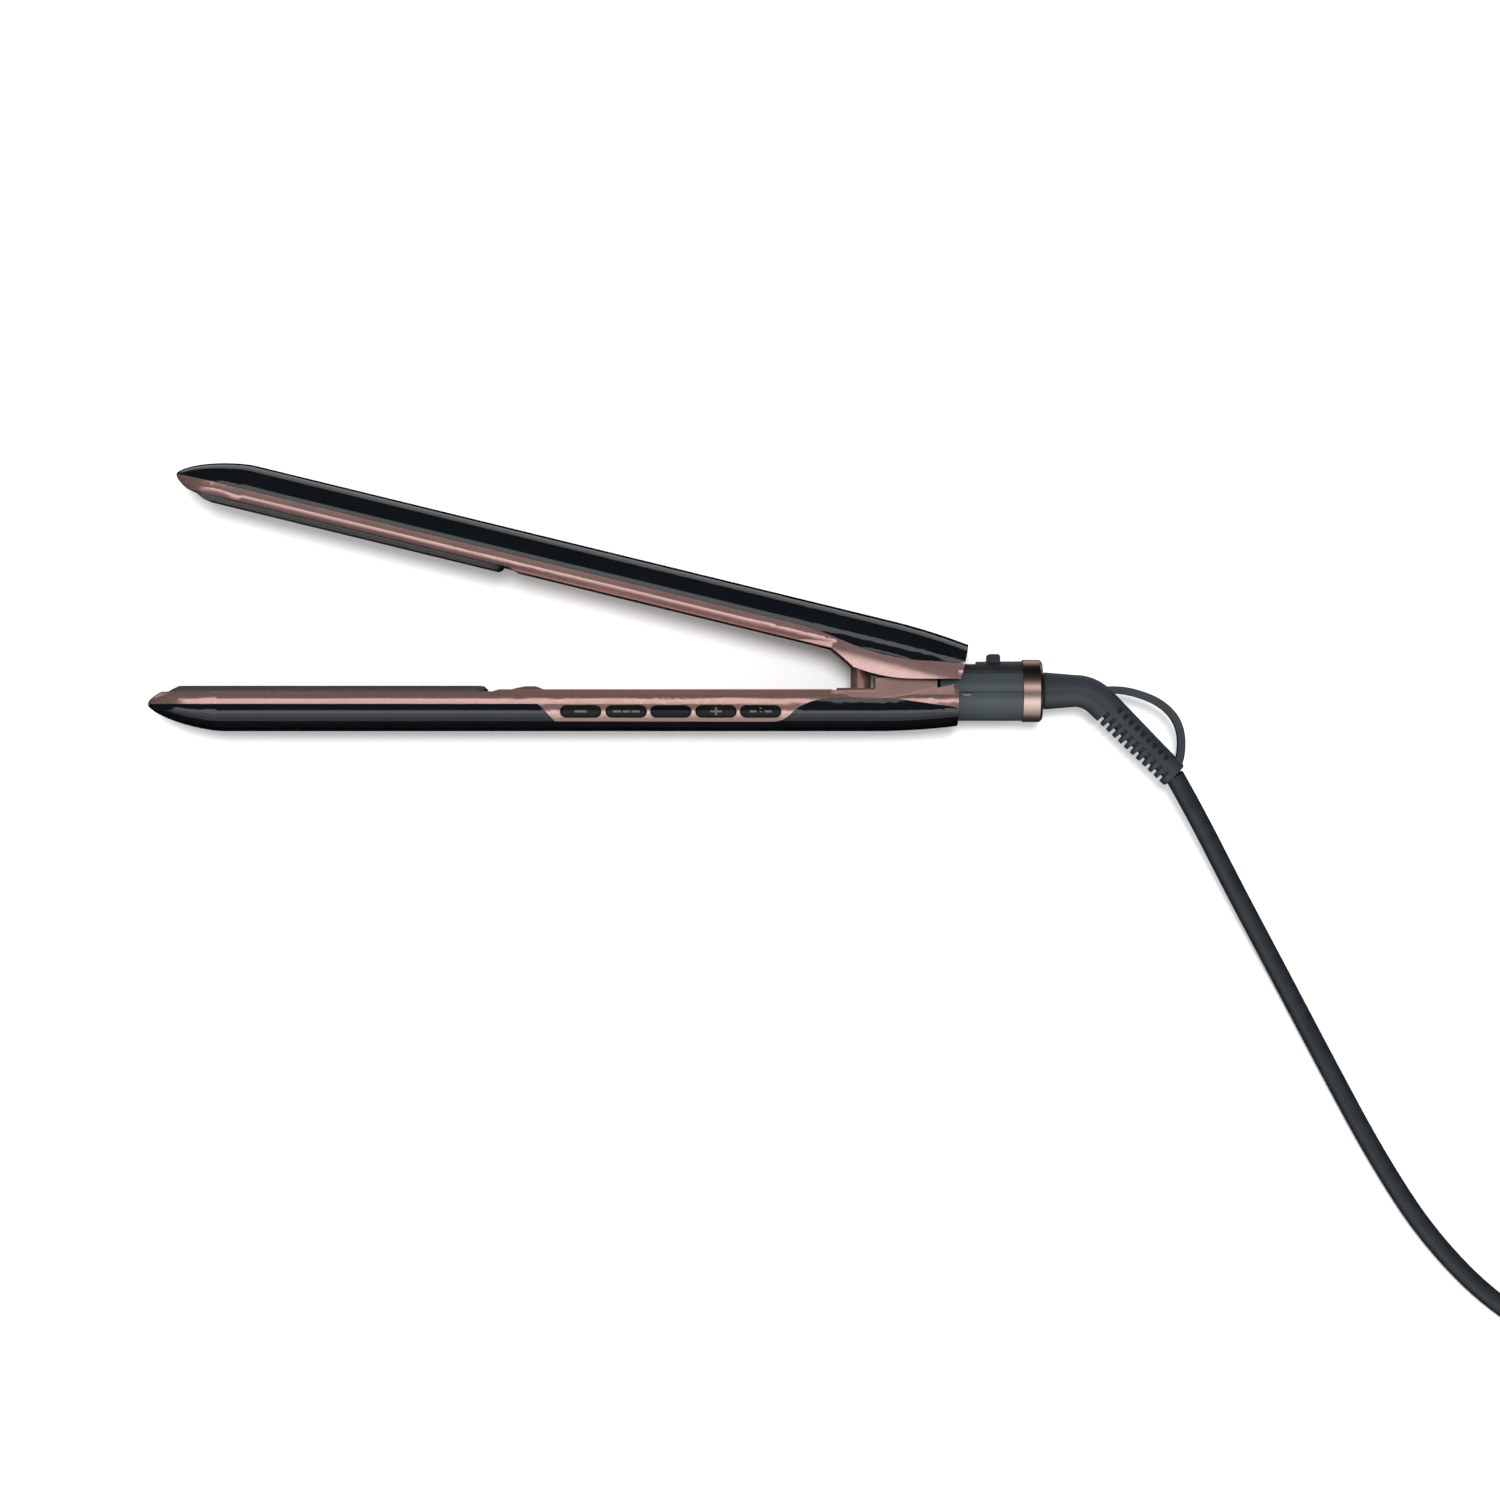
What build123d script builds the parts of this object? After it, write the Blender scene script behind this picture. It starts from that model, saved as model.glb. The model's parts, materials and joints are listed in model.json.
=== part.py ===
from build123d import *
import math
import os

# A flat iron (hair straightener) lying on its side with its two arms open.
# Lengths are in millimetres. X runs along the iron, from its nose (-X) to its lead (+X). Z is up:
# the hinge pin stands along Z and the iron lies on the side of its arms. Y is across, towards the upper arm.
#
# The pieces are drawn about the hinge pin: x = y = 0 is its axis, z = 0 the middle of the arms' width.
# place() moves each one to the row's origin, at the bottom centre of the iron's box without its lead.
#
# Most pieces of an arm are drawn in the arm's own frame: y = 0 is the closing plane, where the two plates
# meet, and +y points out to the arm's back. in_lower_arm() and in_upper_arm() put them in their arms.

# ---- driving dimensions ----
OPEN_ANGLE = 13.7            # degrees between the arms as they lie
CLOSE_Y = 1.67               # the closing plane's height over the hinge axis
TIP_X = -272.6               # nose of both arms
REAR_X = -3.2                # rear end of both arms
HALF_WIDTH = 16.5            # half an arm's width
SEAM = 6.2                   # closing plane to the seam between housing and shell
BACK = 15.1                  # closing plane to an arm's back
FACE = 1.3                   # closing plane to the housing's inner face, in the grip
PLATE_FACE = 2.0             # the same beside the plate
WALL = 1.8                   # wall of shells and housings
EDGE = 2.9                   # how far the housing's bevelled long edges fall in
SEAM_GAP = 0.12              # shadow line between shell and housing

NOSE_BACK = 25.0             # length of the nose's rounding in side view, back of the arm
NOSE_FRONT = 8.0             # the same on the plate's side
NOSE_WIDTH = 22.0            # length of the nose's rounding seen on the plate
NOSE_POWER = 2.3             # squareness of that rounding, and of the two in side view
NOSE_FRONT_POWER, NOSE_BACK_POWER = 1.3, 1.5
BACK_POWER = 2.4             # squareness of the arm's back in section

PLATE_X0, PLATE_X1 = -264.7, -159.8
PLATE_HALF = 11.9
LIP_HALF = 12.8              # half width of the plate over its lips
PLATE_GAP = 0.1              # closing plane to a plate's face
PLATE_THICK = 4.4
HEATER_X0, HEATER_X1 = -250.0, -176.0

KEY_X = [-127.8, -112.8, -98.1, -83.2, -68.5]
KEY_NAMES = ["key_minus", "key_mode", "display_window", "key_plus", "key_power"]
KEY_Y = 8.65                 # closing plane to the keys' middle line
KEY_LONG, KEY_HIGH = 13.1, 3.6
KEY_GAP = 0.3
KEY_SINK = 0.2               # how far the keys' tops lie under the panel's surface
KEY_FLANGE = (13.3, 13.9)    # height range of the lip that keeps a key in
BOARD_Y = 10.2               # closing plane to the power board
CARRIER_Y = 8.4              # closing plane to the floor of a plate's carrier
PANEL_INNER = 14.1           # inner face of the housing behind the keys

NECK_R, NECK_X0, NECK_X1 = 10.0, -9.0, 18.6
NECK_WALL = 1.6
NECK_PARTING = -0.5
RAIL_Y = 5.7                 # underside of the slider's rail
SLOT_HALF = 4.3              # half the slot that the hinge lug swings in
PIN_R = 2.0
LUG_HALF = 4.0
RING_X1, RING_R = 25.2, 10.4
SPIGOT_R = 4.5

POST_X, POST_R = -35.1, 3.3
RIDGE_TOP = 0.9              # height of the ridge that the post stands on
WALL_TOP = 4.2               # height of the two walls behind the post

ELBOW_X, ELBOW_R = 41.2, 12.0    # corner of the elbow on the neck's axis, and its bend's radius
ELBOW_TURN = 45.0
SLEEVE_R, SLEEVE_LEN = 5.0, 40.0
CORD_D = 6.5

COIL_X, COIL_Y = 239.0, -188.0
COIL_R = 38.0                # middle of the turns
COIL_LAYERS = 3
TIE_THICK, TIE_ARC = 0.9, 15.0   # the tie's thickness, and its width in degrees round the coil

PLUG_X, PLUG_Y = 262.0, -104.0   # rear end of the plug's body
PLUG_LONG, PLUG_WIDE, PLUG_HIGH = 38.0, 35.3, 13.7
PIN_SPACING, PLUG_PIN_R, PLUG_PIN_LEN = 18.6, 2.0, 19.0

FLOOR_Z = -HALF_WIDTH - 0.02     # the arms' crowned sides stand out by that hair
BOX_CENTRE = (-99.78, 22.24)    # middle of the iron's box without its lead


# ---- small helpers ----
def place(shape):
    """Moves a piece from the hinge's frame to the row's frame."""
    return Pos(-BOX_CENTRE[0], -BOX_CENTRE[1], -FLOOR_Z) * shape


def in_lower_arm(shape):
    """Puts a piece drawn in an arm's own frame into the lower arm."""
    return Pos(0, CLOSE_Y, 0) * mirror(shape, about=Plane.XZ)


def swing_open(shape):
    """Turns a piece from where it is with the arms closed to where it is with them open."""
    return Rot(0, 0, -OPEN_ANGLE) * shape


def in_upper_arm(shape):
    return swing_open(Pos(0, CLOSE_Y, 0) * shape)


def block(x0, x1, y0, y1, z0, z1):
    return Pos((x0 + x1) / 2, (y0 + y1) / 2, (z0 + z1) / 2) * Box(x1 - x0, y1 - y0, z1 - z0)


def rod_x(radius, x0, x1, y=0.0, z=0.0):
    return Pos((x0 + x1) / 2, y, z) * Rot(0, 90, 0) * Cylinder(radius, x1 - x0)


def rod_y(radius, y0, y1, x=0.0, z=0.0):
    return Pos(x, (y0 + y1) / 2, z) * Rot(90, 0, 0) * Cylinder(radius, y1 - y0)


def rod_z(radius, z0, z1, x=0.0, y=0.0):
    return Pos(x, y, (z0 + z1) / 2) * Cylinder(radius, z1 - z0)


def prism(points, z0, z1):
    """A polygon in X and Y, between two heights."""
    return extrude(Pos(0, 0, z0) * make_face(Polyline(*points, close=True)), z1 - z0)


def pill(x, y, long, high, z0, z1):
    return extrude(Pos(x, y, z0) * SlotOverall(long, high), z1 - z0)


def group(shapes):
    """Separate solids of one node."""
    return Compound([s for shape in shapes for s in shape.solids()])


# ---- the arm's outer form ----
# a housing's bevelled edge: share of the way from the seam to the inner face, and share of its fall
EDGE_PROFILE = [(1.0, 1.0), (0.765, 0.57), (0.53, 0.14), (0.3, 0.03)]


def nose(s, length, power):
    """How far a dimension has grown at distance s from the tip, from 0 to 1, along a rounded curve."""
    left = max(0.0, 1.0 - s / length)
    return (1.0 - left ** power) ** (1.0 / power)


def back_at(x):
    """Closing plane to the arm's back: it drops a little over the last part, towards the neck."""
    t = max(0.0, (x + 30.0) / (REAR_X + 30.0))
    return BACK - 1.7 * t * t


def arm_section(x, inset):
    """Outline across the arm at x: flat inner face, rounded edges, widest at the seam, crowned back."""
    s = x - TIP_X - inset
    half = (HALF_WIDTH - inset) * nose(s, NOSE_WIDTH, NOSE_POWER)
    front = (SEAM - FACE - inset) * nose(s, NOSE_FRONT, NOSE_FRONT_POWER)
    back = (back_at(x) - SEAM - inset) * nose(s, NOSE_BACK, NOSE_BACK_POWER)
    edge = EDGE * half / HALF_WIDTH
    side = [(SEAM - front * depth, half - edge * fall) for depth, fall in EDGE_PROFILE]
    for degrees in (0, 14, 28, 43, 58, 74):
        a = math.radians(degrees)
        bulge = 2.0 / BACK_POWER
        side.append((SEAM + back * math.sin(a) ** bulge, half * math.cos(a) ** bulge))
    other = [(y, -z) for y, z in reversed(side)]
    points = [(x, y, z) for y, z in side + [(SEAM + back, 0.0)] + other]
    return Face(Wire([Spline(*points), Line(points[-1], points[0])]))


def arm_form(inset=0.0):
    """The whole arm's form, or its hollow when inset is the wall."""
    stations = []
    for degrees in (4, 13, 24, 36, 49, 62, 76, 90):
        stations.append(TIP_X + inset + NOSE_BACK * (1 - math.cos(math.radians(degrees))))
    front = loft([arm_section(x, inset) for x in stations])
    middle = extrude(arm_section(stations[-1], inset), -30.0 - stations[-1], dir=(1, 0, 0))
    rear = loft([arm_section(x, inset) for x in (-30.0, -21.0, -12.0, REAR_X)])
    return front + middle + rear


def seam_side(rear_points, shell_side):
    """Everything on one side of the seam's line, which is straight along the arm and curves at its rear."""
    gap = SEAM_GAP / 2 if shell_side else -SEAM_GAP / 2
    start = (-60.0, SEAM + gap)
    rear = [(x, y + gap) for x, y in rear_points]
    far = 40.0 if shell_side else -40.0
    ends = [(10.0, rear[-1][1]), (10.0, far), (-290.0, far), (-290.0, SEAM + gap)]
    line = [Line(ends[3], start), Spline(start, *rear, tangents=((1, 0), (1, 0.6))), Line(rear[-1], ends[0])]
    frame = [Line(ends[0], ends[1]), Line(ends[1], ends[2]), Line(ends[2], ends[3])]
    return extrude(Pos(0, 0, -30) * make_face(line + frame), 60)


# how the seams run over the last part of the arms, in arm frames
LOWER_SEAM = [
    (-48.7, 4.8), (-42.0, 4.25), (-35.3, 4.12), (-28.7, 4.2),
    (-22.0, 4.75), (-15.3, 5.7), (-8.7, 6.6), (-3.0, 7.9),
]
UPPER_SEAM = [(-46.0, 4.8), (-36.0, 3.5), (-30.0, 3.3), (-24.0, 3.45), (-18.0, 4.1), (-10.0, 5.6), (-3.0, 7.2)]

# where the upper housing's shoulder ends below, and the lower housing's top that it nests in, in arm frames
SHOULDER = [
    (-47.4, 1.34), (-43.6, -0.4), (-38.6, -3.1), (-32.0, -3.6),
    (-25.0, -3.3), (-18.6, -2.2), (-7.8, 0.4), (-4.8, 1.1),
]
NEST_GAP = 0.75

# side panel that holds the keys, below the lower arm's seam
PANEL_LEFT = [(-142.8, 5.9), (-136.4, 11.9)]
PANEL_RIGHT = [
    (-65.0, 12.0), (-61.2, 11.3), (-58.7, 9.6), (-57.0, 8.1), (-55.0, 6.7), (-52.3, 5.55), (-48.5, 4.0),
]


def key_panel(grow):
    """The stretch of the lower arm's side that belongs to the housing and holds the keys."""
    left = [(x - grow, y) for x, y in PANEL_LEFT]
    left = [(left[0][0] - 1.9, left[0][1] - 2.9), (left[1][0], left[1][1] + grow)]
    right = [(x + grow * 0.7, y + grow * 0.7) for x, y in PANEL_RIGHT]
    top = (right[-1][0], left[0][1])
    edges = [Polyline(left[0], left[1], right[0]), Spline(*right, tangents=((1, 0), (1, -0.4)))]
    edges += [Polyline(right[-1], top, left[0])]
    return extrude(Pos(0, 0, 7) * make_face(edges), 12)


def plate_window(grow, y0, y1):
    """A bar of the plate's outline, wider all round by grow, with rounded front corners."""
    long = PLATE_X1 - PLATE_X0 + 2 * grow
    outline = RectangleRounded(long, 2 * (PLATE_HALF + grow), 4.0 + grow)
    middle = (PLATE_X0 + PLATE_X1) / 2
    return Pos(middle, y1, 0) * Rot(90, 0, 0) * extrude(outline, y1 - y0)


def boss(x, y0, radius=3.0, z=0.0):
    """A screw boss that rises from the shell's back to y0."""
    return rod_y(radius, y0, BACK - WALL + 0.6, x, z)


SCREW_HEAD = 1.0              # height of a screw's head
SCREW_SINK = FACE + 0.1       # closing plane to the heads of the screws in the housing
GRIP_SCREWS = [-153.5, -53.0]
CARRIER_SCREWS = [-244.0, -182.0]
NECK_SCREWS = [-26.0, -17.0]
SPRING_SPOTS = [(x, z) for x in (-254.0, -168.0) for z in (-7.5, 7.5)]


def screw(x, y_head, long):
    """A slotted screw along the arm's depth: its head starts at y_head."""
    shape = rod_y(2.1, y_head, y_head + SCREW_HEAD, x) + rod_y(1.1, y_head + SCREW_HEAD - 0.1, y_head + long, x)
    return shape - block(x - 1.6, x + 1.6, y_head - 1, y_head + 0.5, -0.3, 0.3)


def arm_screws():
    """The screws of one arm: two that hold its halves together, two that hold the plate's carrier."""
    grip = [screw(x, SCREW_SINK, 9.0) for x in GRIP_SCREWS]
    return grip + [screw(x, CARRIER_Y - SCREW_HEAD, 5.0) for x in CARRIER_SCREWS]


def arm_shell(seam):
    shell = (arm_form() - arm_form(WALL)) & seam_side(seam, True)
    for x in GRIP_SCREWS:
        shell += boss(x, FACE + WALL + 0.1) - rod_y(1.12, 0, 12.5, x)
    for x in CARRIER_SCREWS:
        shell += boss(x, 9.45) - rod_y(1.12, 0, 12.5, x)
    return shell


def arm_housing(seam):
    """The inner housing: a thin tray with the plate's window, lower beside the plate than in the grip."""
    housing = (arm_form() - arm_form(WALL)) & seam_side(seam, False)
    ramp_end = -157.0 + 3 * (PLATE_FACE - FACE)
    beside_plate = [(-280, -1), (-280, PLATE_FACE), (-157.0, PLATE_FACE), (ramp_end, FACE), (-154.0, -1)]
    housing -= prism(beside_plate, -20, 20)
    housing -= plate_window(0.5, -1, 6)
    for x in GRIP_SCREWS:
        housing -= rod_y(2.3, -1, SCREW_SINK + SCREW_HEAD, x)
        housing -= rod_y(1.3, -1, 6, x)
    return housing


def neck_room():
    """Space that the round neck takes in the arms' rear ends."""
    return rod_x(NECK_R + 0.45, NECK_X0 - 0.4, 8.0)


# ---- lower arm ----
def make_lower_shell():
    shell = arm_shell(LOWER_SEAM) - key_panel(0.12)
    for x in NECK_SCREWS:
        shell += boss(x, 11.35) - rod_y(1.12, 0, 12.8, x)
    return in_lower_arm(shell) - neck_room()


def nest_floor():
    """Ledge of the lower housing that follows the upper shoulder's underside at a small gap."""
    top = [(x, -y + NEST_GAP) for x, y in SHOULDER[2:]]
    line = [(-45.4, FACE), (-43.2, 1.7), (-41.0, 3.0)] + top
    bottom = [(x, y + 1.5) for x, y in reversed(line)]
    return line, bottom


def make_lower_housing():
    housing = arm_housing(LOWER_SEAM)
    form = arm_form()
    line, bottom = nest_floor()
    above = prism([(line[0][0], -9)] + line + [(5.0, line[-1][1]), (5.0, -9)], -20, 20)
    housing -= above
    ledge = prism(line + bottom, -15.4, 15.4) & seam_side(LOWER_SEAM, False)
    wedge = line[-3:] + [(-4.0, 8.0), (-12.0, 6.6)]
    cheeks = prism(wedge, -15.6, 15.6) - block(-30, 0, -5, 12, -NECK_R - 0.45, NECK_R + 0.45)
    housing += ledge + (cheeks & seam_side(LOWER_SEAM, False))
    ridge_y = CLOSE_Y - RIDGE_TOP
    ridge = block(-43.0, -17.0, ridge_y, 5.4, -9.6, 9.6)
    ridge = fillet(ridge.edges().filter_by(Axis.X).group_by(Axis.Y)[0], 1.2)
    housing += ridge - block(-41.5, -18.5, ridge_y + 1.5, 9.0, -8.1, 8.1)
    for z0, z1 in ((-9.6, -7.6), (7.6, 9.6)):
        housing += block(-30.5, -10.0, CLOSE_Y - WALL_TOP, 4.0, z0, z1)
    panel = (form - arm_form(2.0)) & key_panel(0)
    housing += panel
    housing -= block(-141.0, -54.0, 6.0, 13.0, 6.0, PANEL_INNER) & key_panel(-0.7)
    for x in KEY_X:
        housing -= pill(x, KEY_Y, KEY_LONG + 2 * KEY_GAP, KEY_HIGH + 2 * KEY_GAP, 10, 20)
    return in_lower_arm(housing) - neck_room()


def under_panel(cap, sink):
    """Cuts a cap's top to the panel's crowned surface, a little lower, and rounds its edge."""
    cap &= extrude(arm_section(-150.0, sink), 100.0, dir=(1, 0, 0))
    return fillet(cap.faces().sort_by(Axis.Z)[-1].edges(), 0.3)


def make_key(x):
    """An oblong key with a lip behind the panel and a stem towards its switch."""
    cap = under_panel(pill(x, KEY_Y, KEY_LONG, KEY_HIGH, KEY_FLANGE[0], 20.0), KEY_SINK)
    lip = pill(x, KEY_Y, KEY_LONG + 1.2, KEY_HIGH + 1.0, *KEY_FLANGE)
    return in_lower_arm(cap + lip)


def make_display_window():
    x = KEY_X[2]
    glass = pill(x, KEY_Y, KEY_LONG + 0.5, KEY_HIGH + 0.5, 12.9, 20.0)
    return in_lower_arm(under_panel(glass, KEY_SINK + 0.1))


def make_display_module():
    return in_lower_arm(block(KEY_X[2] - 6.2, KEY_X[2] + 6.2, 6.6, 10.4, 11.0, 12.8))


def make_control_board():
    board = block(-139.0, -57.0, 5.6, 10.9, 9.8, 11.0)
    for x in (-137.0, -59.0):
        board -= rod_z(0.8, 9, 12, x, KEY_Y)
    return in_lower_arm(board)


def make_key_switches():
    switches = []
    for x in KEY_X[:2] + KEY_X[3:]:
        body = block(x - 2.2, x + 2.2, KEY_Y - 2.0, KEY_Y + 2.0, 11.0, 12.4)
        switches.append(in_lower_arm(body + rod_z(0.9, 12.3, 12.85, x, KEY_Y)))
    return group(switches)


def make_power_board():
    return in_lower_arm(block(-146.0, -60.0, BOARD_Y, BOARD_Y + 1.2, -10.0, 8.6))


def make_power_parts():
    """Capacitor, transformer, triac and two terminals, on the side of the board that faces the plates."""
    capacitor = rod_x(3.0, -136.0, -121.0, BOARD_Y - 3.0, -6.0)
    transformer = block(-116.0, -100.0, 4.4, BOARD_Y, -9.5, 3.0)
    triac = block(-93.0, -83.0, 6.2, BOARD_Y, -9.0, 1.0) + block(-83.5, -80.5, 8.0, BOARD_Y, -7.0, -1.0)
    terminals = [block(x, x + 8.0, 6.6, BOARD_Y, z, z + 7.2) for x, z in ((-75.0, -10.0), (-144.0, 1.0))]
    return group([in_lower_arm(s) for s in [capacitor, transformer, triac] + terminals])


def plate_carrier():
    """Heat-resistant tray behind the plate: floor, side walls and a cup for each spring."""
    back = CARRIER_Y + 1.0
    tray = block(-258.0, -161.5, CARRIER_Y, back, -11.5, 11.5) + block(-253.0, -163.0, 6.6, back, -13.0, 13.0)
    tray -= block(-260.0, -160.0, 6.0, CARRIER_Y, -12.0, 12.0)
    for x, z in SPRING_SPOTS:
        tray += rod_y(3.4, CARRIER_Y - 1.0, CARRIER_Y + 0.5, x, z) - rod_y(2.6, 7.0, CARRIER_Y, x, z)
    for x in CARRIER_SCREWS:
        tray -= rod_y(1.3, 8, 10, x)
    for x in (-222.0, -204.0):
        tray -= block(x - 6, x + 6, 8, 10, -6, 6)
    return tray


def plate_springs():
    """Four small coil springs between the carrier and the plate's clamp."""
    springs = []
    for x, z in SPRING_SPOTS:
        coil = Helix(pitch=0.85, height=2.35, radius=2.0)
        wire = sweep(Plane(origin=coil @ 0, z_dir=coil % 0) * Circle(0.22), path=coil, is_frenet=True)
        springs.append(Pos(x, 8.08, z) * Rot(90, 0, 0) * wire)
    return springs


def wire_run(points, radius=0.8):
    path = FilletPolyline(*points, radius=3.0)
    return sweep(Plane(origin=path @ 0, z_dir=path % 0) * Circle(radius), path=path)


def make_lower_leads():
    """Mains wires from the swivel's brushes to the board, and the heater's wires to the plate."""
    runs = []
    for z, z_end in ((-3.4, -8.6), (3.4, -4.8)):
        runs.append(wire_run([(9.5, 8.3, z), (-30.0, 8.3, z), (-46.0, 8.3, z_end), (-66.4, 8.3, z_end)]))
    for z in (4.4, 6.8):
        heater_end = [(-163.0, 11.2, z + 2.3), (-175.0, 11.2, z + 2.3)]
        runs.append(wire_run([(-144.4, 8.2, z), (-156.0, 8.2, z)] + heater_end))
    return group([in_lower_arm(r) for r in runs])


def make_stop_nub():
    """Small nub on the grip that keeps the closed arms apart where the hand presses."""
    foot = FACE - 0.01
    side = [(-151.3, foot), (-149.3, 0.75), (-146.5, 0.2), (-143.2, 0.2), (-141.8, 0.75), (-140.7, foot)]
    nub = prism(side, -7.0, 7.0)
    return in_lower_arm(fillet(nub.edges().filter_by(Axis.Z).group_by(Axis.Y)[0], 0.5))


def make_spring_post():
    post = rod_y(POST_R, RIDGE_TOP + 0.01, 9.3, POST_X)
    post = fillet(post.edges().group_by(Axis.Y)[-1], 0.6)
    return post - rod_y(POST_R - 1.1, RIDGE_TOP + 1.2, 12, POST_X)


def make_opening_spring():
    coil = Helix(pitch=2.1, height=17.6, radius=1.6)
    wire = sweep(Plane(origin=coil @ 0, z_dir=coil % 0) * Circle(0.3), path=coil, is_frenet=True)
    return Pos(POST_X, RIDGE_TOP + 1.8, 0) * Rot(-90, 0, 0) * wire


# ---- neck, on the lower arm ----
def neck_tube():
    tube = rod_x(NECK_R, NECK_X0, NECK_X1) - rod_x(NECK_R - NECK_WALL, NECK_X0 - 1, NECK_X1 - 1.4)
    return tube - rod_x(SPIGOT_R + 0.3, 10, 30)


def make_neck_lower_half():
    """Lower half of the neck, with the pin's ears and a tongue that reaches into the lower arm."""
    half = neck_tube() & block(-20, 30, -20, NECK_PARTING - 0.06, -20, 20)
    ears = rod_z(4.3, -7.0, 7.0) + block(-4.3, 4.3, -7.6, 0, -7.0, 7.0)
    ears -= block(-20, 20, -20, 20, -4.65, 4.65)
    tongue = block(-30.0, NECK_X0 + 2, -9.6, -8.1, -5.2, 5.2)
    half += ears + tongue
    for x in NECK_SCREWS:
        half -= rod_y(1.3, -12, -5, x)
    return half - rod_z(PIN_R + 0.02, -12, 12)


def make_neck_upper_half():
    half = neck_tube() & block(-20, 30, NECK_PARTING + 0.06, RAIL_Y, -20, 20)
    half -= rod_z(4.6, -7.4, 7.4) + block(-4.6, 4.6, -3, 0, -7.4, 7.4)
    shoulder = block(15.9, NECK_X1 - 1.0, NECK_PARTING + 0.06, RAIL_Y, -8.2, 8.2) & rod_x(NECK_R - 0.5, 10, 30)
    half += shoulder - rod_x(SPIGOT_R + 0.3, 10, 30)
    return half - block(NECK_X0 - 1, 3.3, 2, 12, -SLOT_HALF, SLOT_HALF)


def make_slider_rail():
    """Dark cap on the neck that the lock slider runs on, with the lug's window at its front."""
    cap = rod_x(NECK_R - 0.15, -3.2, NECK_X1) & block(-10, 30, RAIL_Y + 0.05, 12, -7.2, 7.2)
    cap -= block(-4, 16.0, 4, 8.3, -SLOT_HALF, SLOT_HALF)
    cap -= block(-4, 3.3, 4, 12, -SLOT_HALF, SLOT_HALF)
    return cap - block(3.0, 11.0, 7, 12, -1.7, 1.7)


def make_lock_slider():
    """Slider with a ribbed knob; its tongue runs forward over the hinge lug."""
    knob = block(6.9, 11.2, 8.9, 12.2, -3.6, 3.6)
    knob = fillet(knob.edges().filter_by(Axis.Z).group_by(Axis.Y)[-1], 0.9) - rod_x(NECK_R, 0, 20)
    for x in (8.3, 9.8):
        knob -= block(x - 0.25, x + 0.25, 11.8, 13, -3.0, 3.0)
    stem = block(8.1, 10.2, 7.0, 10.1, -1.5, 1.5)
    foot = block(5.0, 12.5, 6.6, 8.0, -3.6, 3.6) + block(1.6, 5.2, 6.6, 7.8, -2.6, 2.6)
    return knob + stem + foot


def make_neck_screws():
    """Two screws that hold the neck's tongue in the lower shell."""
    screws = []
    for x in NECK_SCREWS:
        shape = rod_y(2.1, -8.05, -6.95, x) + rod_y(1.1, -11.0, -7.9, x)
        screws.append(shape - block(x - 1.6, x + 1.6, -7.4, -6, -0.3, 0.3))
    return group(screws)


def make_neck_ring():
    ring = rod_x(RING_R, NECK_X1 + 0.1, RING_X1)
    ring = chamfer(ring.edges().group_by(Axis.X)[-1], 0.9)
    ring -= rod_x(8.0, NECK_X1 - 1, RING_X1 - 2.0)
    return ring - rod_x(SPIGOT_R + 0.3, 15, 30)


def make_hinge_pin():
    return rod_z(PIN_R, -7.2, 7.2)


def make_hinge_washers():
    washer = rod_z(3.9, 4.1, 4.6) - rod_z(PIN_R + 0.1, 3, 6)
    return group([washer, mirror(washer, about=Plane.XY)])


def make_swivel_contacts():
    """Two sprung brushes in the neck that ride on the swivel's rings."""
    brushes = []
    for x in (11.3, 14.6):
        brushes.append(block(x - 0.7, x + 0.7, -7.95, -6.25, -2.4, 2.4))
    return group(brushes)


# ---- plates ----
def heated_plate():
    """Floating plate: bevelled face, side lips under the housing's edge, a bed for the heater."""
    plate = plate_window(0, PLATE_GAP, PLATE_GAP + PLATE_THICK)
    plate = chamfer(plate.edges().group_by(Axis.Y)[0], 1.1)
    ahead, below = PLATE_X0 - 1, PLATE_GAP - 1
    bevel = [(ahead, below), (ahead, 2.4), (PLATE_X0, 2.0), (PLATE_X0 + 4, PLATE_GAP), (PLATE_X0 + 4, below)]
    plate -= prism(bevel, -20, 20)
    lip_y = FACE + WALL + 0.55
    plate += block(-250.5, -163.5, lip_y, PLATE_GAP + PLATE_THICK, -LIP_HALF, LIP_HALF)
    return plate - block(HEATER_X0 - 2, HEATER_X1 + 2, 2.3, 9, -8.5, 8.5)


def heater():
    return block(HEATER_X0, HEATER_X1, 2.35, 3.85, -6.0, 6.0)


def heater_clamp():
    """Sheet that presses the heater into the plate; the springs bear on it."""
    top = PLATE_GAP + PLATE_THICK + 0.02
    sheet = block(-258.0, -164.0, top, top + 0.8, -10.5, 10.5)
    sheet += block(HEATER_X0 + 4, HEATER_X1 - 4, 3.9, top + 0.4, -4.0, 4.0)
    for x in (-236.0, -190.0):
        sheet -= block(x - 5, x + 5, 3, 8, -2.2, 2.2)
    return sheet


def bead(x):
    return block(x - 3.2, x + 3.2, 3.95, 5.6, -1.4, 1.4)


# ---- upper arm ----
def make_upper_shell():
    shell = in_upper_arm(arm_shell(UPPER_SEAM))
    return shell - neck_room() - swing_open(neck_room())


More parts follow.
